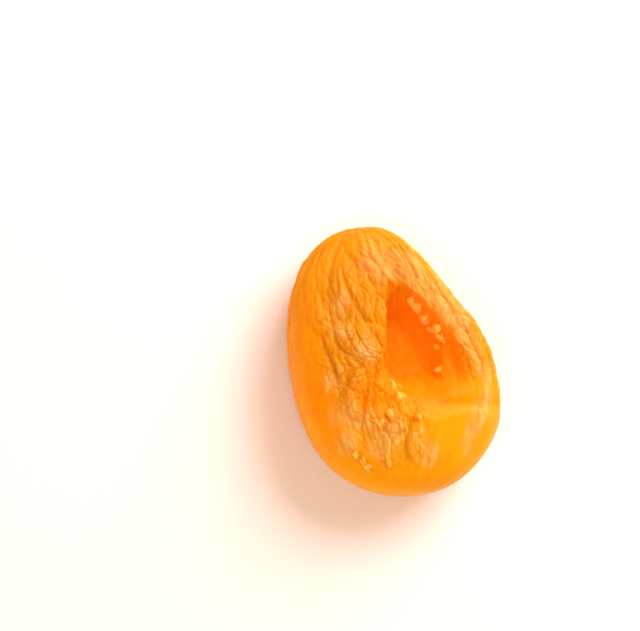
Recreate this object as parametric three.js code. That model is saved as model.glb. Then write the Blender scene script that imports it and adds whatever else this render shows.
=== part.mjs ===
// A dried apricot: whole, pitted, flattened and wrinkled, lying on its back so that the hollow left by
// its stone faces up. It dried as one body, so it is one solid.
//
// Millimetres, +Z up. The stalk end points along +Y and the blossom end along -Y. The origin is on the
// surface that the fruit lies on, below the middle of its bounding box.
import * as THREE from "three";
import { mergeVertices } from "three/addons/utils/BufferGeometryUtils.js";

// Overall size of the fruit.
const LENGTH = 42;
const WIDTH = 32;
const THICKNESS = 14.5;

// The plan is an egg with its wide end at the blossom end: a circle, plus even swells all the way round,
// plus a few bulges and flats. Angles are in degrees from +X.
const PLAN_RADIUS = 18;
const PLAN_SWELLS = [
  { lobes: 2, height: 2.7, at: 90 },
  { lobes: 3, height: 1.05, at: 89 },
  { lobes: 4, height: 0.3, at: -11 },
  { lobes: 5, height: 0.15, at: 6 },
];
const PLAN_BULGES = [
  { at: 71, halfAngle: 8, height: 0.5 },
  { at: 47, halfAngle: 16, height: -0.65 },
  { at: 7, halfAngle: 13, height: 0.35 },
  { at: -42, halfAngle: 16, height: 0.4 },
  { at: -112, halfAngle: 20, height: -0.25 },
];

// The section is a flattened round: 2 would be an ellipse, and more makes a fuller shoulder.
const SECTION_FULLNESS = 2.5;
const HALF_THICKNESS = THICKNESS / 2;
// The rim gets thicker and thinner on its way round, and is bent a little out of flat.
const RIM_SWELL = 0.06;
const RIM_BEND = 0.5;
// The body gets thinner from just above its middle to its stalk end.
const STALK_END_THINNER = 0.2;
const THINNER_FROM = 4;
const THINNER_TO = 20;

// The hollow of the stone is a drop in plan, right of the middle, with its narrow end towards the stalk.
const HOLLOW = { x: 3.2, y: 0.6, halfWidth: 5.9, halfLength: 11.6, taper: 0.066, depth: 5.8, ragged: 0.02 };
// Its floor ends where its wall starts, as a share of the way out to the lip: the left wall is steep, the
// right one easier, and the lower end an open slope.
const LEFT_FLOOR = 0.66;
const RIGHT_FLOOR = 0.5;
const LOWER_FLOOR = 0.15;
const LOWER_END_SHALLOWER = 0.35;
const FLOOR_TILT = 0.14;
// A low fold stands on the floor, and the floor right of it is a shelf.
const FOLD = { x: 5.9, y: 3, slant: -0.08, bow: 0.03, halfWidth: 0.8, halfLength: 6.4 };
const FOLD_HEIGHT = 0.7;
const SHELF = 0.5;
const SHELF_WIDTH = 1.6;
const SHELF_HALF_LENGTH = 9;
// The seam runs from the stalk end into the hollow as a short groove.
const SEAM = { x: 4.3, y: 14.5, slant: 0.2, bow: 0, halfWidth: 1.1, halfLength: 5.2 };
const SEAM_DEPTH = 0.9;
// A shallow dip and a few lumps lie left of the hollow's lower end.
const DIP_AND_LUMPS = [
  { x: -3.6, y: -5.6, radius: 3.6, height: -0.9 },
  { x: -1.8, y: -3, radius: 1.2, height: 0.45 },
  { x: -0.3, y: -5.3, radius: 0.8, height: 0.6 },
  { x: -0.7, y: -9, radius: 1.2, height: 0.5 },
  { x: 1.9, y: -7.4, radius: 0.7, height: 0.4 },
  { x: -4.1, y: -7.9, radius: 1, height: 0.5 },
];
// The back is pressed flat where the fruit lies.
const REST_DEPTH = 0.3;
const REST_RADIUS = 9.5;

// Wrinkles run from end to end as long cells with sunken edges. Each layer gives the width and length of
// its cells, how deep their edges lie, how far they lean, how wide their edges are as a share of a cell,
// and a number that draws the pattern.
const WRINKLE_LAYERS = [
  { width: 4.6, length: 13, depth: 0.4, lean: 0.2, crease: 0.45, salt: 11 },
  { width: 2.2, length: 5.5, depth: 0.22, lean: 0.16, crease: 0.32, salt: 23 },
];
const WRINKLE_MIDDLE = 0.7; // the height in a cell that leaves the plump form where it is
const WRINKLE_BEND = 0.25; // how far the cells are bent out of straight, in cells
const WRINKLE_TURN = THREE.MathUtils.degToRad(9);
const MEANDER = 0.7;
const MEANDER_LENGTH = 3.1;
// Shares of the relief that are left on the flank at its smoothest and roughest, and on the hollow's floor.
const SMOOTH_FLANK = 0.12;
const ROUGH_FLANK = 0.8;
const ROUGH_FLANK_AT = THREE.MathUtils.degToRad(35);
const FLANK_FROM = 0.7; // shares of the plan's radius
const FLANK_TO = 0.9;
const FLOOR_RELIEF = 0.15;
// The face is smooth below the open end of the hollow.
const SMOOTH_PATCH = { x: 6.5, y: -11.5, radius: 9, relief: 0.15 };

// The mesh starts as a cube of this many squares a side, rounded to a ball. The ball's points are then
// drawn towards the two faces, so that the flattened fruit has triangles of even size.
const SQUARES = 30;
const FACE_DENSITY = 1.6;
const POLE = 1e-6;
const NORMAL_STEP = 0.01;

const { smoothstep, lerp, degToRad, radToDeg } = THREE.MathUtils;

function sum(values) {
  return values.reduce((total, value) => total + value, 0);
}

// The plan's radius at an angle from +X.
function planRadius(angle) {
  const swells = PLAN_SWELLS.map((s) => s.height * Math.cos(s.lobes * (angle - degToRad(s.at))));
  const degrees = radToDeg(angle);
  const bulges = PLAN_BULGES.map((b) => b.height * Math.exp(-(((degrees - b.at) / b.halfAngle) ** 2)));
  return PLAN_RADIUS + sum(swells) + sum(bulges);
}

// Where a place in plan is from the middle of the hollow, across and along it, with 1 at its lip.
function hollowPlace(x, y) {
  const across = (x - HOLLOW.x) / (HOLLOW.halfWidth * Math.exp(-HOLLOW.taper * (y - HOLLOW.y)));
  const along = (y - HOLLOW.y) / HOLLOW.halfLength;
  const around = Math.atan2(along, across);
  const ragged = 1 + HOLLOW.ragged * (Math.sin(5 * around + 1) + 0.6 * Math.sin(9 * around));
  return { across, along, reach: Math.max(Math.hypot(across, along) * ragged, POLE) };
}

// Where the middle line of a ridge or groove is at a place along it.
function lineX(line, y) {
  const along = y - line.y;
  return line.x + line.slant * along - line.bow * along ** 2;
}

// A long soft ridge of height 1 along its own middle line.
function ridge(line, x, y) {
  return Math.exp(-(((x - lineX(line, y)) / line.halfWidth) ** 2) - ((y - line.y) / line.halfLength) ** 4);
}

// A round soft bump of height 1.
function bump(place, x, y) {
  return Math.exp(-((x - place.x) ** 2 + (y - place.y) ** 2) / place.radius ** 2);
}

// How deep the hollow is at a place in plan, from 0 at its lip to about 1 on its floor.
function hollowDepth(x, y) {
  const { across, along, reach } = hollowPlace(x, y);
  const sideFloor = lerp(RIGHT_FLOOR, LEFT_FLOOR, smoothstep(-across / reach, -0.2, 0.9));
  const floorEnd = lerp(sideFloor, LOWER_FLOOR, smoothstep(-along / reach, 0.3, 1));
  const shallower = 1 - LOWER_END_SHALLOWER * smoothstep(-along, 0.1, 0.9);
  const besideFold = 1 - smoothstep(Math.abs(y - FOLD.y), 0.55 * SHELF_HALF_LENGTH, SHELF_HALF_LENGTH);
  const shelf = 1 - SHELF * smoothstep(x - lineX(FOLD, y), -0.2, SHELF_WIDTH) * besideFold;
  return (1 - smoothstep(reach, floorEnd, 1)) * (1 - FLOOR_TILT * across) * shallower * shelf;
}

// Where a direction of the ball comes to lie on the fruit, before the wrinkles.
function plumpPoint(ball) {
  const spread = Math.hypot(ball.x, ball.y);
  const angle = Math.atan2(ball.y, ball.x);
  const n = SECTION_FULLNESS;
  const reach = (spread ** n + Math.abs(ball.z) ** n) ** (-1 / n);
  const outward = spread * reach;
  const upward = ball.z * reach;
  const x = planRadius(angle) * outward * Math.cos(angle);
  const y = planRadius(angle) * outward * Math.sin(angle);

  const swell = RIM_SWELL * outward * (Math.sin(2 * angle + 0.9) + 0.5 * Math.sin(3 * angle));
  const bend = RIM_BEND * outward ** 2 * Math.cos(2 * angle - 1.2);
  const thinner = 1 - STALK_END_THINNER * smoothstep(y, THINNER_FROM, THINNER_TO);
  const sunk =
    HOLLOW.depth * hollowDepth(x, y) +
    SEAM_DEPTH * ridge(SEAM, x, y) -
    FOLD_HEIGHT * ridge(FOLD, x, y) -
    sum(DIP_AND_LUMPS.map((place) => place.height * bump(place, x, y)));
  const z = HALF_THICKNESS * upward * (1 + swell) * thinner + bend - smoothstep(upward, 0, 0.6) * sunk;
  return new THREE.Vector3(x, y, z);
}

// The outward normal of the plump form, from four neighbouring places on it.
function plumpNormal(ball) {
  const east = new THREE.Vector3(POLE - ball.y, ball.x, 0).normalize();
  const north = new THREE.Vector3().crossVectors(ball, east);
  const beside = (way, distance) => plumpPoint(ball.clone().addScaledVector(way, distance).normalize());
  const toEast = beside(east, NORMAL_STEP).sub(beside(east, -NORMAL_STEP));
  const toNorth = beside(north, NORMAL_STEP).sub(beside(north, -NORMAL_STEP));
  return toEast.cross(toNorth).normalize();
}

// A number from 0 to 1 for each wrinkle cell, the same on every run.
function cellRandom([x, y, z], salt) {
  let h = Math.imul(x, 73856093) ^ Math.imul(y, 19349663) ^ Math.imul(z, 83492791);
  h ^= Math.imul(salt, 2654435761);
  h = Math.imul(h ^ (h >>> 15), 739982445);
  h = Math.imul(h ^ (h >>> 12), 695872825);
  return ((h ^ (h >>> 15)) >>> 0) / 2 ** 32;
}

// How far a place is from the edge of its wrinkle cell and how high the cell's own lean lifts it, in cells.
function wrinkleCell(place, salt) {
  const home = place.map(Math.floor);
  let nearest = Infinity;
  let second = Infinity;
  let lift = 0;
  for (let n = 0; n < 27; n++) {
    const step = [n % 3, Math.floor(n / 3) % 3, Math.floor(n / 9)];
    const cell = home.map((corner, axis) => corner + step[axis] - 1);
    const away = cell.map((corner, axis) => place[axis] - corner - cellRandom(cell, salt + axis));
    const distance = Math.hypot(...away);
    if (distance < nearest) {
      second = nearest;
      nearest = distance;
      lift = sum(away.map((a, axis) => 2 * a * (cellRandom(cell, salt + 3 + axis) - 0.5)));
    } else {
      second = Math.min(second, distance);
    }
  }
  return { edge: second - nearest, lift };
}

// The height of all the wrinkles at a direction of the ball, in millimetres. They are drawn on a cylinder
// about the line that they run along, so that they come together at both ends of the fruit.
function wrinkleHeight(ball) {
  const sideways = ball.x * Math.cos(WRINKLE_TURN) - ball.y * Math.sin(WRINKLE_TURN);
  const lengthways = ball.x * Math.sin(WRINKLE_TURN) + ball.y * Math.cos(WRINKLE_TURN);
  const girth = Math.hypot(sideways, ball.z);
  const y = (lengthways * LENGTH) / 2;
  const meander = MEANDER * (Math.sin(y / MEANDER_LENGTH + 0.5) + 0.5 * Math.sin((1.8 * y) / MEANDER_LENGTH));
  const x = ((sideways / Math.max(girth, POLE)) * WIDTH) / 2 + meander;
  const z = ((ball.z / Math.max(girth, POLE)) * WIDTH) / 2;
  let height = 0;
  for (const { width, length, depth, lean, crease, salt } of WRINKLE_LAYERS) {
    const [a, b, c] = [x / width, y / length, z / width];
    const place = [
      a + WRINKLE_BEND * Math.sin(2.6 * b + salt),
      b + 0.4 * WRINKLE_BEND * Math.sin(1.7 * a),
      c + WRINKLE_BEND * Math.sin(2.1 * b),
    ];
    const { edge, lift } = wrinkleCell(place, salt);
    const crown = 1 - (1 - Math.min(edge / crease, 1)) ** 2;
    height += depth * (crown - WRINKLE_MIDDLE) + lean * lift * crown;
  }
  return height * smoothstep(girth, 0.05, 0.4);
}

// How much of the wrinkles is left at a place: all of it on the two faces, less on the flank, on the smooth
// patch and on the hollow's floor, and none where the fruit lies.
function wrinkleShare(ball, point) {
  const angle = Math.atan2(point.y, point.x);
  const out = Math.hypot(point.x, point.y);
  const flank = lerp(SMOOTH_FLANK, ROUGH_FLANK, 0.5 + 0.5 * Math.cos(angle - ROUGH_FLANK_AT));
  const share = lerp(1, flank, smoothstep(out / planRadius(angle), FLANK_FROM, FLANK_TO));
  if (ball.z < 0) {
    return share * smoothstep(out, 0.75 * REST_RADIUS, 1.25 * REST_RADIUS);
  }
  const fromPatch = Math.hypot(point.x - SMOOTH_PATCH.x, point.y - SMOOTH_PATCH.y) / SMOOTH_PATCH.radius;
  const onPatch = lerp(SMOOTH_PATCH.relief, 1, smoothstep(fromPatch, 0.55, 1));
  const onFloor = lerp(FLOOR_RELIEF, 1, smoothstep(hollowPlace(point.x, point.y).reach, 0.5, 0.95));
  return share * onPatch * onFloor;
}

// Presses the back flat where the fruit lies, and gives the whole its overall size above its origin.
function layDown(geometry) {
  const positions = geometry.getAttribute("position");
  geometry.computeBoundingBox();
  const pressed = geometry.boundingBox.min.z + REST_DEPTH;
  for (let i = 0; i < positions.count; i++) {
    positions.setZ(i, Math.max(positions.getZ(i), pressed));
  }
  geometry.computeBoundingBox();
  const size = geometry.boundingBox.getSize(new THREE.Vector3());
  const middle = geometry.boundingBox.getCenter(new THREE.Vector3());
  geometry.translate(-middle.x, -middle.y, -pressed);
  geometry.scale(WIDTH / size.x, LENGTH / size.y, THICKNESS / size.z);
}

function fruitGeometry() {
  const cube = new THREE.BoxGeometry(2, 2, 2, SQUARES, SQUARES, SQUARES);
  cube.deleteAttribute("normal");
  cube.deleteAttribute("uv");
  const geometry = mergeVertices(cube, 1e-4);
  const positions = geometry.getAttribute("position");
  const ball = new THREE.Vector3();
  for (let i = 0; i < positions.count; i++) {
    ball.fromBufferAttribute(positions, i);
    ball.set(...ball.toArray().map((v) => Math.tan((v * Math.PI) / 4))).normalize();
    ball.z *= FACE_DENSITY;
    ball.normalize();
    const point = plumpPoint(ball);
    point.addScaledVector(plumpNormal(ball), wrinkleHeight(ball) * wrinkleShare(ball, point));
    positions.setXYZ(i, point.x, point.y, point.z);
  }
  layDown(geometry);
  return geometry;
}

const skin = new THREE.MeshStandardMaterial({ color: 0xf58a14, roughness: 0.42, metalness: 0 });
const apricot = new THREE.Mesh(fruitGeometry(), skin);
apricot.name = "dried_apricot";

const fruit = new THREE.Group();
fruit.add(apricot);
export default fruit;
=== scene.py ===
import math

import bpy
import numpy as np
from mathutils import Matrix, Vector


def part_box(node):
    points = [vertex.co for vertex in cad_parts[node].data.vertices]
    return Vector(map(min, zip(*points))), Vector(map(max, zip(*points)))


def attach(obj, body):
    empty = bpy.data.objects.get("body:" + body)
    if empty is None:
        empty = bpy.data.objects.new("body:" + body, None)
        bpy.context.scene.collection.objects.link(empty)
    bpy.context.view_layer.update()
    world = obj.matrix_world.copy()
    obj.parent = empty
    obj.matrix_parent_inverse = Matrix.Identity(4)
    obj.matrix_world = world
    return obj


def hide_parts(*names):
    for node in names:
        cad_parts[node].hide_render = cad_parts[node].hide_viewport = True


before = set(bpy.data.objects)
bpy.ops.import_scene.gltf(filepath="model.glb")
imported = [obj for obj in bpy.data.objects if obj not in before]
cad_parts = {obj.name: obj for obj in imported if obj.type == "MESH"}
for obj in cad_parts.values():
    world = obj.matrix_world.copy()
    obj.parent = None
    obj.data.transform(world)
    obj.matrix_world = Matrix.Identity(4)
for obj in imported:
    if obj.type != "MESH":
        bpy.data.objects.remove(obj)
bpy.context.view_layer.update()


# The fruit's plump form: a whole apricot whose stone was pressed out before it dried to a flat, leathery
# body. Its plan is an egg whose narrow end, +Y, held the stalk, its section is a flattened round, and the
# hollow of the stone lies right of the middle. All lengths here are in millimetres.
MM_PER_METRE = 1000
low, high = (MM_PER_METRE * np.array(corner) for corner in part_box("dried_apricot"))
WIDTH, LENGTH, THICKNESS = high - low

PLAN_RADIUS = 18.0
PLAN_SWELLS = [
    {"lobes": 2, "height": 2.7, "at": 90},
    {"lobes": 3, "height": 1.05, "at": 89},
    {"lobes": 4, "height": 0.3, "at": -11},
    {"lobes": 5, "height": 0.15, "at": 6},
]
PLAN_BULGES = [
    {"at": 71, "half_angle": 8, "height": 0.5},
    {"at": 47, "half_angle": 16, "height": -0.65},
    {"at": 7, "half_angle": 13, "height": 0.35},
    {"at": -42, "half_angle": 16, "height": 0.4},
    {"at": -112, "half_angle": 20, "height": -0.25},
]
SECTION_FULLNESS = 2.5
RIM_SWELL = {"height": 0.06, "turn": 0.9, "third_share": 0.5}
RIM_BEND = {"height": 0.5, "turn": 1.2}
STALK_END_THINNER = 0.2
THINNER_FROM, THINNER_TO = 4, 20
FACE_EDGE = 0.6

HOLLOW = {"x": 2.85, "y": 0.6, "half_width": 6.4, "half_length": 11.6, "taper": 0.066, "depth": 5.8}
RAGGED_LIP = [
    {"waves": 5, "height": 0.02, "turn": 1},
    {"waves": 9, "height": 0.012, "turn": 0},
]
# The floor's edge, as a share of the way from the middle of the hollow to its lip.
LEFT_FLOOR = 0.48
RIGHT_FLOOR = 0.5
LOWER_FLOOR = 0.15
LEFT_SIDE_FROM, LEFT_SIDE_TO = -0.2, 0.9
LOWER_SIDE_FROM, LOWER_SIDE_TO = 0.3, 1
LOWER_END_SHALLOWER = 0.35
SHALLOWER_FROM, SHALLOWER_TO = 0.1, 0.9
FLOOR_TILT = 0.14

# The lines that stand up from the skin or are drawn into it. The fold, the channel and the seam run along
# the fruit, so they lie at a place across it, and the notch in the right rim runs across it, so it lies at
# a place along it. A shelf lies right of the fold.
FOLD = {
    "at": 5.9, "middle": 3.0, "slant": -0.08, "bow": 0.03,
    "half_width": 0.8, "half_length": 6.4, "height": 0.5,
}
CHANNEL = {
    "at": 7.4, "middle": 3.0, "slant": -0.32, "bow": 0.03,
    "half_width": 0.8, "half_length": 6, "height": -0.9,
}
SEAM = {
    "at": 4.3, "middle": 14.5, "slant": 0.2, "bow": 0,
    "half_width": 1.1, "half_length": 5.2, "height": -0.6,
}
NOTCH = {
    "at": -9.5, "middle": 8.0, "slant": -0.2, "bow": 0,
    "half_width": 1, "half_length": 5.5, "height": -0.45,
}
SHELF = 0.5
SHELF_FROM, SHELF_TO = -0.2, 1.6
SHELF_LEVEL_LENGTH, SHELF_HALF_LENGTH = 4.95, 9
DIPS = [
    {"x": -6.9, "y": -5.6, "radius": 2.7, "height": -0.8},
    {"x": -4.6, "y": -1.8, "radius": 1.8, "height": -0.5},
    {"x": -3.9, "y": -5.6, "radius": 1.6, "height": -0.5},
]
POLE = 1e-6
NORMAL_STEP = 0.004


def smooth(value, start, end):
    t = np.clip((value - start) / (end - start), 0, 1)
    return t * t * (3 - 2 * t)


def lerp(a, b, t):
    return a + (b - a) * t


def unit(vectors):
    return vectors / np.linalg.norm(vectors, axis=1, keepdims=True)


def plan_radius(angle):
    swells = [s["height"] * np.cos(s["lobes"] * (angle - math.radians(s["at"]))) for s in PLAN_SWELLS]
    degrees = np.degrees(angle)
    bulges = [b["height"] * np.exp(-(((degrees - b["at"]) / b["half_angle"]) ** 2)) for b in PLAN_BULGES]
    return PLAN_RADIUS + sum(swells) + sum(bulges)


def hollow_place(x, y):
    """Where a place in plan is from the middle of the hollow, across and along it, with 1 at its lip."""
    half_width = HOLLOW["half_width"] * np.exp(-HOLLOW["taper"] * (y - HOLLOW["y"]))
    across = (x - HOLLOW["x"]) / half_width
    along = (y - HOLLOW["y"]) / HOLLOW["half_length"]
    around = np.arctan2(along, across)
    ragged = 1 + sum(wave["height"] * np.sin(wave["waves"] * around + wave["turn"]) for wave in RAGGED_LIP)
    return across, along, np.maximum(np.hypot(across, along) * ragged, POLE)


def beside(line, across, along):
    """How far each place is to the side of a line."""
    run = along - line["middle"]
    return across - line["at"] - line["slant"] * run + line["bow"] * run**2


def raised(line, across, along):
    """How high a line stands at each place: a round ridge, or a groove, that dies out at its two ends."""
    end = ((along - line["middle"]) / line["half_length"]) ** 4
    return line["height"] * np.exp(-((beside(line, across, along) / line["half_width"]) ** 2) - end)


def bump(place, x, y):
    return np.exp(-((x - place["x"]) ** 2 + (y - place["y"]) ** 2) / place["radius"] ** 2)


def hollow_depth(x, y):
    """How deep the hollow is at each place, as a share of its full depth."""
    across, along, reach = hollow_place(x, y)
    on_left = smooth(-across / reach, LEFT_SIDE_FROM, LEFT_SIDE_TO)
    at_lower_end = smooth(-along / reach, LOWER_SIDE_FROM, LOWER_SIDE_TO)
    floor_edge = lerp(lerp(RIGHT_FLOOR, LEFT_FLOOR, on_left), LOWER_FLOOR, at_lower_end)
    shallower = 1 - LOWER_END_SHALLOWER * smooth(-along, SHALLOWER_FROM, SHALLOWER_TO)
    along_fold = 1 - smooth(np.abs(y - FOLD["middle"]), SHELF_LEVEL_LENGTH, SHELF_HALF_LENGTH)
    shelf = 1 - SHELF * smooth(beside(FOLD, x, y), SHELF_FROM, SHELF_TO) * along_fold
    return (1 - smooth(reach, floor_edge, 1)) * (1 - FLOOR_TILT * across) * shallower * shelf


def plump_points(ball):
    """Where directions of a ball come to lie on the fruit, before the wrinkles."""
    spread = np.hypot(ball[:, 0], ball[:, 1])
    angle = np.arctan2(ball[:, 1], ball[:, 0])
    n = SECTION_FULLNESS
    reach = (spread**n + np.abs(ball[:, 2]) ** n) ** (-1 / n)
    outward = spread * reach
    upward = ball[:, 2] * reach
    x = plan_radius(angle) * outward * np.cos(angle)
    y = plan_radius(angle) * outward * np.sin(angle)
    two_swells = np.sin(2 * angle + RIM_SWELL["turn"])
    three_swells = RIM_SWELL["third_share"] * np.sin(3 * angle)
    swell = RIM_SWELL["height"] * outward * (two_swells + three_swells)
    bend = RIM_BEND["height"] * outward**2 * np.cos(2 * angle - RIM_BEND["turn"])
    thinner = 1 - STALK_END_THINNER * smooth(y, THINNER_FROM, THINNER_TO)
    face = raised(FOLD, x, y) + raised(CHANNEL, x, y) + raised(SEAM, x, y) + raised(NOTCH, y, x)
    face += sum(dip["height"] * bump(dip, x, y) for dip in DIPS) - HOLLOW["depth"] * hollow_depth(x, y)
    body = THICKNESS / 2 * upward * (1 + swell) * thinner
    return np.stack([x, y, body + bend + smooth(upward, 0, FACE_EDGE) * face], axis=1)


def plump_normals(ball):
    east = unit(np.stack([POLE - ball[:, 1], ball[:, 0], np.zeros(len(ball))], axis=1))
    sides = []
    for way in (east, np.cross(ball, east)):
        ahead = plump_points(unit(ball + NORMAL_STEP * way))
        behind = plump_points(unit(ball - NORMAL_STEP * way))
        sides.append(ahead - behind)
    return unit(np.cross(*sides))


# The skin's wrinkles: as the flesh shrank, the skin drew into long plates with sunken creases between them,
# which run from the stalk to the far end. Four sizes of plate lie over each other, from folds that bend the
# whole face to fine lines. The two largest are those of the solid.
WRINKLE_LAYERS = [
    {"width": 4.6, "length": 13.0, "depth": 0.4, "lean": 0.2, "crease": 0.45, "salt": 11},
    {"width": 2.2, "length": 5.5, "depth": 0.22, "lean": 0.16, "crease": 0.32, "salt": 23},
    {"width": 1.1, "length": 2.0, "depth": 0.17, "lean": 0.16, "crease": 0.28, "salt": 37},
    {"width": 0.6, "length": 1.1, "depth": 0.06, "lean": 0.06, "crease": 0.3, "salt": 53},
]
WRINKLE_MIDDLE = 0.7
WRINKLE_TURN = math.radians(9)
SIDEWAYS_BEND = {"size": 0.25, "rate": 2.6}
LENGTHWAYS_BEND = {"size": 0.1, "rate": 1.7}
UPWARD_BEND = {"size": 0.25, "rate": 2.1}
MEANDER = {"size": 0.7, "length": 3.1, "turn": 0.5, "second_share": 0.5, "second_rate": 1.8}
FULL_CREASE = 0.15
ENDS_SMOOTH_TO, ENDS_ROUGH_FROM = 0.05, 0.4
NET_STRETCH = 2.4
SMOOTH_FLANK = 0.12
ROUGH_FLANK = 0.8
ROUGH_FLANK_AT = math.radians(35)
FLANK_FROM, FLANK_TO = 0.7, 0.9
FLOOR_RELIEF = 0.15
FLOOR_RELIEF_TO, WALL_RELIEF_FROM = 0.5, 0.95
SMOOTH_PATCH = {"x": 6.5, "y": -11.5, "radius": 9, "core": 0.55, "relief": 0.15}
REST_SMOOTH_TO, REST_ROUGH_FROM = 7.125, 11.875


def cell_random(cell, salt):
    """A number from 0 to 1 for each wrinkle cell, the same on every run."""
    x, y, z = (cell[:, axis].astype(np.uint32) for axis in range(3))
    h = x * np.uint32(73856093) ^ y * np.uint32(19349663) ^ z * np.uint32(83492791)
    h ^= np.uint32(salt * 2654435761 % 2**32)
    h = (h ^ (h >> np.uint32(15))) * np.uint32(739982445)
    h = (h ^ (h >> np.uint32(12))) * np.uint32(695872825)
    return (h ^ (h >> np.uint32(15))) / 2**32


def wrinkle_cells(place, salt):
    """How far each place is from the edge of its cell, and how high the cell's lean lifts it, in cells."""
    home = np.floor(place).astype(np.int64)
    nearest = np.full(len(place), np.inf)
    second = np.full(len(place), np.inf)
    lift = np.zeros(len(place))
    for n in range(27):
        cell = home + [n % 3 - 1, n // 3 % 3 - 1, n // 9 - 1]
        away = np.stack([place[:, a] - cell[:, a] - cell_random(cell, salt + a) for a in range(3)], axis=1)
        leans = np.stack([cell_random(cell, salt + 3 + a) - 0.5 for a in range(3)], axis=1)
        distance = np.linalg.norm(away, axis=1)
        closer = distance < nearest
        second = np.where(closer, nearest, np.minimum(second, distance))
        lift = np.where(closer, 2 * (away * leans).sum(axis=1), lift)
        nearest = np.minimum(nearest, distance)
    return second - nearest, lift


def bent(bend, along, turn=0):
    return bend["size"] * np.sin(bend["rate"] * along + turn)


def wrinkles(ball):
    """The height of the wrinkles, how deep in a crease each place is, and its place along the skin."""
    sideways = ball[:, 0] * math.cos(WRINKLE_TURN) - ball[:, 1] * math.sin(WRINKLE_TURN)
    lengthways = ball[:, 0] * math.sin(WRINKLE_TURN) + ball[:, 1] * math.cos(WRINKLE_TURN)
    girth = np.hypot(sideways, ball[:, 2])
    y = lengthways * LENGTH / 2
    waves = y / MEANDER["length"]
    second_meander = MEANDER["second_share"] * np.sin(MEANDER["second_rate"] * waves)
    meander = MEANDER["size"] * (np.sin(waves + MEANDER["turn"]) + second_meander)
    x = sideways / np.maximum(girth, POLE) * WIDTH / 2 + meander
    z = ball[:, 2] / np.maximum(girth, POLE) * WIDTH / 2
    height = np.zeros(len(ball))
    crease = np.zeros(len(ball))
    for layer in WRINKLE_LAYERS:
        a, b, c = x / layer["width"], y / layer["length"], z / layer["width"]
        place = [
            a + bent(SIDEWAYS_BEND, b, layer["salt"]),
            b + bent(LENGTHWAYS_BEND, a),
            c + bent(UPWARD_BEND, b),
        ]
        edge, lift = wrinkle_cells(np.stack(place, axis=1), layer["salt"])
        crown = 1 - (1 - np.minimum(edge / layer["crease"], 1)) ** 2
        height += layer["depth"] * (crown - WRINKLE_MIDDLE) + layer["lean"] * lift * crown
        crease = np.maximum(crease, (1 - crown) * min(1, layer["depth"] / FULL_CREASE))
    from_end = smooth(girth, ENDS_SMOOTH_TO, ENDS_ROUGH_FROM)
    return height * from_end, crease * from_end, np.stack([x, y / NET_STRETCH, z], axis=1)


def wrinkle_share(ball, points):
    """How much of the wrinkles is left at each place: less of them on the flank and in the hollow."""
    x, y = points[:, 0], points[:, 1]
    angle = np.arctan2(y, x)
    out = np.hypot(x, y)
    flank = lerp(SMOOTH_FLANK, ROUGH_FLANK, 0.5 + 0.5 * np.cos(angle - ROUGH_FLANK_AT))
    share = lerp(1, flank, smooth(out / plan_radius(angle), FLANK_FROM, FLANK_TO))
    on_back = smooth(out, REST_SMOOTH_TO, REST_ROUGH_FROM)
    from_patch = np.hypot(x - SMOOTH_PATCH["x"], y - SMOOTH_PATCH["y"]) / SMOOTH_PATCH["radius"]
    on_patch = lerp(SMOOTH_PATCH["relief"], 1, smooth(from_patch, SMOOTH_PATCH["core"], 1))
    on_floor = lerp(FLOOR_RELIEF, 1, smooth(hollow_place(x, y)[2], FLOOR_RELIEF_TO, WALL_RELIEF_FROM))
    on_floor *= 1 - raised(CHANNEL, x, y) / CHANNEL["height"]
    return share * np.where(ball[:, 2] < 0, on_back, on_patch * on_floor)


# Small things on the skin. Flakes of flesh that tore as the stone came out have dried to a chain of beads
# down the hollow's right wall and to lumps left of the hollow and at the fruit's lower left edge. Round
# patches of the skin are wrinkled, on the smooth flank too, and painted pale as highlights.
BEADS = [
    {"x": 4.9, "y": 8.0, "radius": 1.0, "height": 0.52},
    {"x": 5.4, "y": 6.8, "radius": 1.2, "height": 0.52},
    {"x": 6.1, "y": 4.7, "radius": 1.1, "height": 0.5},
    {"x": 6.4, "y": 3.1, "radius": 0.9, "height": 0.48},
    {"x": 7.1, "y": 2.6, "radius": 0.9, "height": 0.48},
    {"x": 7.2, "y": 1.2, "radius": 1.1, "height": 0.48},
    {"x": 6.7, "y": 0.3, "radius": 0.9, "height": 0.35},
    {"x": 5.8, "y": -3.2, "radius": 0.9, "height": 0.4},
]
LUMPS = [
    {"x": -2.3, "y": -3.1, "radius": 1.4, "height": 0.4},
    {"x": -2.2, "y": -5.8, "radius": 1.5, "height": 0.4},
    {"x": -5.2, "y": -7.9, "radius": 1.3, "height": 0.4},
    {"x": -7.2, "y": -8.6, "radius": 1.4, "height": 0.3},
    {"x": -3.6, "y": -9.6, "radius": 1.4, "height": 0.3},
    {"x": -1.4, "y": -9.2, "radius": 1.1, "height": 0.35},
    {"x": -11.6, "y": -11.8, "radius": 0.8, "height": 0.4},
    {"x": -10.9, "y": -12.8, "radius": 0.8, "height": 0.4},
    {"x": -10.2, "y": -13.9, "radius": 0.8, "height": 0.4},
    {"x": -7.9, "y": -13.4, "radius": 0.8, "height": 0.4},
    {"x": -7.2, "y": -14.5, "radius": 0.9, "height": 0.4},
]
KNOB_WRINKLES = 0.9
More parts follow.
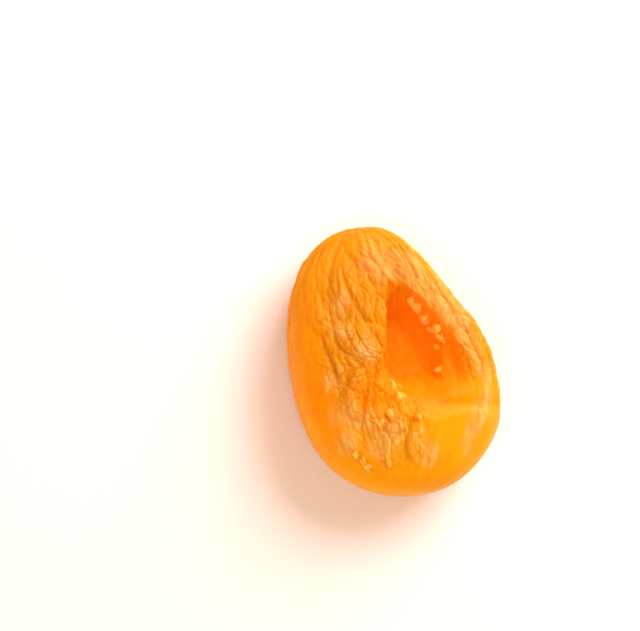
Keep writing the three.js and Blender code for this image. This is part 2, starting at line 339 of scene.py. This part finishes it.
WRINKLED_HIGHLIGHT_PATCHES = [
    {"x": 11.4, "y": -8.6, "radius": 1.8},
    {"x": 9.4, "y": -11.4, "radius": 2.0},
    {"x": 7.0, "y": -13.6, "radius": 1.6},
    {"x": 5.6, "y": -15.6, "radius": 1.2},
    {"x": -0.2, "y": -14.4, "radius": 1.4},
    {"x": -1.4, "y": -15.8, "radius": 1.2},
    {"x": 1.2, "y": 14.5, "radius": 3.2},
    {"x": 5.2, "y": 12.9, "radius": 3.2},
    {"x": 7.2, "y": 9.0, "radius": 3.0},
    {"x": 8.8, "y": 5.2, "radius": 2.2},
    {"x": 10.0, "y": 2.0, "radius": 2.2},
    {"x": 10.7, "y": -1.4, "radius": 1.9},
    {"x": 11.8, "y": -5.2, "radius": 2.0},
    {"x": -6.6, "y": 9.7, "radius": 1.8},
    {"x": -8.3, "y": 6.3, "radius": 1.5},
    {"x": -5.8, "y": 1.4, "radius": 1.8},
    {"x": -11.5, "y": -1.0, "radius": 1.6},
    {"x": -6.0, "y": -10.6, "radius": 3.0},
    {"x": -9.6, "y": -7.4, "radius": 1.8},
    {"x": -12.0, "y": -6.0, "radius": 2.0},
    {"x": -12.4, "y": -10.0, "radius": 1.5},
    {"x": -8.2, "y": -12.0, "radius": 1.5},
]
PATCH_WRINKLES = 0.6
LIP_FROM, LIP_TO = 0.8, 1.1


def knobs_on(plump, above, crease):
    """How much of a bead or lump each place is, and how far that raises it. A crease narrows a knob."""
    knobs = np.zeros(len(plump))
    raises = np.zeros(len(plump))
    for place in BEADS + LUMPS:
        to_side = np.hypot(plump[:, 0] - place["x"], plump[:, 1] - place["y"])
        centre = plump[np.argmin(np.where(above, to_side, np.inf))]
        knob = np.exp(-((plump - centre) ** 2).sum(axis=1) / place["radius"] ** 2 * (1 + crease))
        knobs = np.maximum(knobs, knob)
        raises = np.maximum(raises, place["height"] * knob)
    return knobs, raises


# The skin itself, one closed sheet over the whole fruit. It is a cube of squares rounded to a ball, closer
# together towards the upper face, which the form above draws out to the fruit, and it is pressed flat where
# the fruit lies.
SQUARES = 128
FACE_DENSITY = 1.6
TOP_DENSITY = 0.3
REST_DEPTH = 0.3


def cube_grid(n):
    """The corners of the squares on a cube from 0 to n, each once, and the squares as four corners each."""
    i, j = (a.ravel() for a in np.meshgrid(np.arange(n), np.arange(n), indexing="ij"))
    corners = []
    for axis in range(3):
        for side in (0, n):
            square = []
            for di, dj in ((0, 0), (1, 0), (1, 1), (0, 1)):
                corner = np.empty((len(i), 3), int)
                corner[:, axis] = side
                corner[:, (axis + 1) % 3] = i + di
                corner[:, (axis + 2) % 3] = j + dj
                square.append(corner)
            corners.append(np.stack(square if side else square[::-1], axis=1))
    corners = np.concatenate(corners)
    points, index = np.unique(corners.reshape(-1, 3), axis=0, return_inverse=True)
    return points, index.reshape(-1, 4)


grid, squares = cube_grid(SQUARES)
ball = unit(np.tan((grid / SQUARES * 2 - 1) * math.pi / 4))
ball = unit(ball * [1, 1, FACE_DENSITY] + [0, 0, TOP_DENSITY])
above = ball[:, 2] > 0
plump = plump_points(ball)
x, y = plump[:, 0], plump[:, 1]
height, crease, skin_place = wrinkles(ball)
knobs, knob_height = knobs_on(plump, above, crease)
from_middle = hollow_place(x, y)[2]
# The patches set both their extra wrinkles and their painted highlight.
wrinkled_highlight_patch = sum(bump(place, x, y) for place in WRINKLED_HIGHLIGHT_PATCHES) * above * smooth(from_middle, LIP_FROM, LIP_TO)
wrinkled_highlight_patch = np.minimum(wrinkled_highlight_patch, 1)
share = np.maximum(wrinkle_share(ball, plump), np.maximum(KNOB_WRINKLES * knobs, PATCH_WRINKLES * wrinkled_highlight_patch))
points = plump + plump_normals(ball) * (height * share + knob_height)[:, None]
pressed = points[:, 2].min() + REST_DEPTH
points[:, 2] = np.maximum(points[:, 2], pressed)
lowest, highest = points.min(axis=0), points.max(axis=0)
points = low + (points - lowest) * (high - low) / (highest - lowest)

skin = bpy.data.meshes.new("apricot_skin")
skin.from_pydata((points / MM_PER_METRE).tolist(), [], squares.tolist())
skin.shade_smooth()
apricot = bpy.data.objects.new("apricot", skin)
bpy.context.scene.collection.objects.link(apricot)


# Where the skin is painted deeper or paler, worked out from the form. The hollow, the channel on its
# right wall and the dips left of it are painted a deeper orange as shade and bounced glow. The crests of the
# wrinkles, the wrinkled patches, the beads and the lumps are painted pale as highlights, and the skin turns
# yellower from the middle to the far end, -Y.
SHADED_FLOOR_TO, UNSHADED_LIP_FROM = 0.6, 1
CHANNEL_SHADE = 0.8
DIP_SHADE = 0.65
CREST_FROM, CREST_TO = -0.12, 0.3
CREST_HIGHLIGHT = 0.35
PATCH_CREST_HIGHLIGHT = 0.35
PATCH_HIGHLIGHT = 0.6
ROUGH_FROM, ROUGH_TO = 0.2, 0.6
FULL_KNOB_HEIGHT = 0.5
YELLOW_FROM, YELLOW_TO = -1, 17

in_dip = np.minimum(sum(bump(place, x, y) for place in DIPS), 1) * above
in_channel = raised(CHANNEL, x, y) / CHANNEL["height"] * above
# Painted shade: the hollow, its channel and the dips get a deeper orange where shade and bounced glow fall.
hollow_shade = np.maximum(1 - smooth(from_middle, SHADED_FLOOR_TO, UNSHADED_LIP_FROM), CHANNEL_SHADE * in_channel) * above
hollow_shade = np.maximum(hollow_shade, DIP_SHADE * in_dip)
# Painted highlight: the crests of the wrinkles and the wrinkled patches are painted pale where they would
# catch the light.
crest = smooth(height * share, CREST_FROM, CREST_TO) * (1 - in_dip) * smooth(from_middle, LIP_FROM, LIP_TO)
crest_highlight = (CREST_HIGHLIGHT * smooth(share, ROUGH_FROM, ROUGH_TO) + PATCH_CREST_HIGHLIGHT * wrinkled_highlight_patch) * crest

for name, values in {
    # Painted shade in the creases.
    "in_crease": crease * share,
    # Painted shade of the hollow, its channel and the dips.
    "hollow_shade": hollow_shade,
    # Painted highlight on the crests and the wrinkled patches.
    "is_pale": np.clip(crest_highlight + PATCH_HIGHLIGHT * wrinkled_highlight_patch, 0, 1),
    # Where the beads and lumps stand, for their painted highlight and the painted shade round them.
    "is_knob": np.minimum(knob_height / FULL_KNOB_HEIGHT, 1),
    "is_yellow": smooth(-y, YELLOW_FROM, YELLOW_TO),
    "is_rough": share,
}.items():
    skin.attributes.new(name, "FLOAT", "POINT").data.foreach_set("value", values.astype(np.float32))
along_skin = skin.attributes.new("along_skin", "FLOAT_VECTOR", "POINT")
along_skin.data.foreach_set("vector", skin_place.astype(np.float32).ravel())


# The flesh is translucent and full of sugar: light goes in and comes out orange. The skin over it has a
# satin sheen, a net of lines finer than the wrinkles, and colour that changes from place to place. Part of
# that colour is painted light: painted shade on the wrinkled face, in the hollow, in the creases and round
# the knobs, and painted highlights on the crests, the patches and the knobs.
ORANGE = (0.96, 0.31, 0.001)
# Partly the wrinkled skin's duller tone and partly painted shade: the wrinkled upper face, which catches
# more light, is painted darker than the smooth flank.
DULL_SHADED_ORANGE = (0.68, 0.29, 0.006)
# Painted shade: the deeper orange of the hollow, its channel and the dips.
HOLLOW_SHADE_ORANGE = (1.0, 0.27, 0.001)
YELLOW_ORANGE = (0.86, 0.44, 0.004)
# Painted highlights: the pale colours of the lit crests and patches.
HIGHLIGHT_ORANGE = (0.75, 0.44, 0.12)
HIGHLIGHT_YELLOW = (0.82, 0.52, 0.12)
# Painted highlight: the pale tops of the beads and lumps.
KNOB_HIGHLIGHT = (0.94, 0.53, 0.09)
# Painted shade: the darker ring round each bead and lump.
KNOB_RIM_SHADE = (0.62, 0.22, 0.004)
# Painted shade: the darker creases.
CREASE_SHADE = (0.66, 0.19, 0.001)

BLOTCHES_PER_METRE = 260
BLOTCH_FROM, BLOTCH_TO = 0.3, 0.7
BLOTCH_SHARE = 0.3
YELLOW_SHARE = 0.7
HIGHLIGHT_BREAKUP_PER_MM = 1.3
RAGGED_DETAIL = 3
HIGHLIGHT_FROM, HIGHLIGHT_TO = 0.6, 1.4
CREASE_SHADE_SHARE = 0.5
KNOB_RIM_SHADE_FROM, KNOB_RIM_SHADE_TO = 0.05, 0.35
KNOB_RIM_SHADE_SHARE = 0.5
KNOB_HIGHLIGHT_BREAKUP = 2.0
KNOB_HIGHLIGHT_FROM, KNOB_HIGHLIGHT_TO = 1.35, 1.75
NET_LINES_PER_MM = 2.4
NET_LINE_WIDTH = 0.25
GRAINS_PER_METRE = 2500
RELIEF_DEPTH = 0.00005
RELIEF_SHARE = 0.45

flesh = bpy.data.materials.new("apricot_flesh")
flesh.use_nodes = True
nodes = flesh.node_tree.nodes
links = flesh.node_tree.links
shader = nodes["Principled BSDF"]


def texture(kind, place, scale, detail=0.0):
    node = nodes.new(kind)
    links.new(place, node.inputs["Vector"])
    node.inputs["Scale"].default_value = scale
    if detail:
        node.inputs["Detail"].default_value = detail
    return node


def attribute(name, output="Fac"):
    node = nodes.new("ShaderNodeAttribute")
    node.attribute_name = name
    return node.outputs[output]


def calculated(operation, first, second):
    node = nodes.new("ShaderNodeMath")
    node.operation = operation
    links.new(first, node.inputs[0])
    if isinstance(second, (int, float)):
        node.inputs[1].default_value = second
    else:
        links.new(second, node.inputs[1])
    return node.outputs[0]


def ranged(value, start, end):
    node = nodes.new("ShaderNodeMapRange")
    node.interpolation_type = "SMOOTHSTEP"
    links.new(value, node.inputs["Value"])
    node.inputs["From Min"].default_value = start
    node.inputs["From Max"].default_value = end
    return node.outputs["Result"]


def blended(factor, first, second):
    node = nodes.new("ShaderNodeMixRGB")
    for socket, value in zip(node.inputs, (factor, first, second)):
        if isinstance(value, tuple):
            socket.default_value = (*value, 1)
        else:
            links.new(value, socket)
    return node.outputs["Color"]


on_fruit = nodes.new("ShaderNodeTexCoord").outputs["Object"]
on_skin = attribute("along_skin", "Vector")
blotches = texture("ShaderNodeTexNoise", on_fruit, BLOTCHES_PER_METRE, RAGGED_DETAIL).outputs["Fac"]
blotchy = calculated("MULTIPLY", ranged(blotches, BLOTCH_FROM, BLOTCH_TO), BLOTCH_SHARE)
# Partly a duller tone and partly painted shade: the wrinkled upper face is painted darker than the brighter
# smooth flank.
colour = blended(attribute("is_rough"), ORANGE, DULL_SHADED_ORANGE)
colour = blended(blotchy, colour, YELLOW_ORANGE)
colour = blended(calculated("MULTIPLY", attribute("is_yellow"), YELLOW_SHARE), colour, YELLOW_ORANGE)
# Painted shade: a deeper orange in the hollow, its channel and the dips.
colour = blended(attribute("hollow_shade"), colour, HOLLOW_SHADE_ORANGE)

# Painted highlight: pale, ragged-edged patches on the crests and the wrinkled patches.
highlight_breakup = texture("ShaderNodeTexNoise", on_skin, HIGHLIGHT_BREAKUP_PER_MM, RAGGED_DETAIL).outputs["Fac"]
highlight_here = ranged(calculated("ADD", attribute("is_pale"), highlight_breakup), HIGHLIGHT_FROM, HIGHLIGHT_TO)
pale = blended(attribute("is_rough"), KNOB_HIGHLIGHT, HIGHLIGHT_ORANGE)
colour = blended(highlight_here, colour, blended(attribute("is_yellow"), pale, HIGHLIGHT_YELLOW))
# Painted shade: the creases are darkened toward brown.
colour = blended(calculated("MULTIPLY", attribute("in_crease"), CREASE_SHADE_SHARE), colour, CREASE_SHADE)

# Painted shade: a darker ring round each bead and lump.
knob_rim_shade = ranged(attribute("is_knob"), KNOB_RIM_SHADE_FROM, KNOB_RIM_SHADE_TO)
colour = blended(calculated("MULTIPLY", knob_rim_shade, KNOB_RIM_SHADE_SHARE), colour, KNOB_RIM_SHADE)
# Painted highlight: the pale, ragged-edged tops of the beads and lumps.
ragged_knob_highlight = calculated("ADD", attribute("is_knob"), calculated("MULTIPLY", highlight_breakup, KNOB_HIGHLIGHT_BREAKUP))
colour = blended(ranged(ragged_knob_highlight, KNOB_HIGHLIGHT_FROM, KNOB_HIGHLIGHT_TO), colour, KNOB_HIGHLIGHT)
links.new(colour, shader.inputs["Base Color"])

net = texture("ShaderNodeTexVoronoi", on_skin, NET_LINES_PER_MM)
net.feature = "DISTANCE_TO_EDGE"
net_relief = ranged(net.outputs["Distance"], 0, NET_LINE_WIDTH)
grain = texture("ShaderNodeTexNoise", on_fruit, GRAINS_PER_METRE).outputs["Fac"]
relief = nodes.new("ShaderNodeBump")
relief.inputs["Distance"].default_value = RELIEF_DEPTH
links.new(calculated("ADD", net_relief, grain), relief.inputs["Height"])
links.new(calculated("MULTIPLY", attribute("is_rough"), RELIEF_SHARE), relief.inputs["Strength"])
links.new(relief.outputs["Normal"], shader.inputs["Normal"])

shader.inputs["Roughness"].default_value = 0.36
shader.inputs["IOR"].default_value = 1.3
shader.inputs["Specular IOR Level"].default_value = 0.35
shader.inputs["Specular Tint"].default_value = (1, 0.6, 0.2, 1)
shader.inputs["Subsurface Weight"].default_value = 1.0
shader.inputs["Subsurface Radius"].default_value = (1.0, 0.25, 0.05)
shader.inputs["Subsurface Scale"].default_value = 0.003
skin.materials.append(flesh)
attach(apricot, "root")
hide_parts("dried_apricot")


# The camera looks down on the face of the fruit, turned as the fruit stands in the picture: with its stalk
# end up and to the left. The middle of the fruit's outline lies a little off the middle of its body.
IMAGE_WIDTH, IMAGE_HEIGHT = 640, 631
PIXELS_PER_METRE = 6663
OUTLINE_MIDDLE_AT = (394, 354)
OUTLINE_MIDDLE_FROM_BODY = (0.000815, 0.000734)
VIEW_AZIMUTH = math.radians(-62)
VIEW_ELEVATION = math.radians(65)
VIEW_ROLL = math.radians(45)
LENS = 100
SENSOR = 36
CLIP_START = 0.01

level = math.cos(VIEW_ELEVATION)
back = Vector((math.sin(VIEW_AZIMUTH) * level, -math.cos(VIEW_AZIMUTH) * level, math.sin(VIEW_ELEVATION)))
flat_right = Vector((math.cos(VIEW_AZIMUTH), math.sin(VIEW_AZIMUTH), 0))
flat_up = back.cross(flat_right)
right = flat_right * math.cos(VIEW_ROLL) + flat_up * math.sin(VIEW_ROLL)
up = flat_up * math.cos(VIEW_ROLL) - flat_right * math.sin(VIEW_ROLL)

middle = Vector((0, 0, THICKNESS / 2 / MM_PER_METRE))
aim = middle + right * OUTLINE_MIDDLE_FROM_BODY[0] + up * OUTLINE_MIDDLE_FROM_BODY[1]
aim -= right * (OUTLINE_MIDDLE_AT[0] - IMAGE_WIDTH / 2) / PIXELS_PER_METRE
aim += up * (OUTLINE_MIDDLE_AT[1] - IMAGE_HEIGHT / 2) / PIXELS_PER_METRE
distance = IMAGE_WIDTH / PIXELS_PER_METRE * LENS / SENSOR

camera = bpy.data.objects.new("camera", bpy.data.cameras.new("camera"))
camera.data.lens = LENS
camera.data.sensor_width = SENSOR
camera.data.clip_start = CLIP_START
turned = Matrix((right, up, back)).transposed().to_4x4()
camera.matrix_world = Matrix.Translation(aim + back * distance) @ turned
bpy.context.scene.collection.objects.link(camera)
bpy.context.scene.camera = camera


# The floor is a plain sheet of white paper, far wider than the picture, so that only the very lowest views
# look past its edge. The fruit lies loose on it.
FLOOR_HALF = 6
PAPER_WHITE = (0.94, 0.94, 0.94, 1)
PAPER_ROUGHNESS = 0.9

floor_mesh = bpy.data.meshes.new("floor")
floor_corners = [(x * FLOOR_HALF, y * FLOOR_HALF, 0) for x, y in ((-1, -1), (1, -1), (1, 1), (-1, 1))]
floor_mesh.from_pydata(floor_corners, [], [(0, 1, 2, 3)])
floor = bpy.data.objects.new("floor", floor_mesh)
bpy.context.scene.collection.objects.link(floor)
paper = bpy.data.materials.new("floor_paper")
paper.use_nodes = True
paper.node_tree.nodes["Principled BSDF"].inputs["Base Color"].default_value = PAPER_WHITE
paper.node_tree.nodes["Principled BSDF"].inputs["Roughness"].default_value = PAPER_ROUGHNESS
floor_mesh.materials.append(paper)


# Soft studio light: a wide white panel to the upper right in the picture, a weaker one on the camera's
# side, and a warm room all round, which tints the shadow.
ROOM_COLOUR = (1, 0.5, 0.22, 1)
ROOM_STRENGTH = 0.56


def panel(name, direction, distance, size, power):
    light = bpy.data.lights.new(name, "AREA")
    light.shape = "SQUARE"
    light.size = size
    light.energy = power
    lamp = bpy.data.objects.new(name, light)
    place = Vector(direction).normalized() * distance
    lamp.location = place
    lamp.rotation_euler = place.to_track_quat("Z", "Y").to_euler()
    bpy.context.scene.collection.objects.link(lamp)


panel("key_panel", direction=(0.75, 0.5, 0.75), distance=0.6, size=0.5, power=4.6)
panel("fill_panel", direction=(-0.7, -0.4, 1.0), distance=0.8, size=0.6, power=2.8)

room = bpy.data.worlds.new("room")
room.use_nodes = True
glow = room.node_tree.nodes["Background"]
glow.inputs["Color"].default_value = ROOM_COLOUR
glow.inputs["Strength"].default_value = ROOM_STRENGTH
bpy.context.scene.world = room
bpy.context.scene.view_settings.view_transform = "Standard"
bpy.context.scene.cycles.use_denoising = True
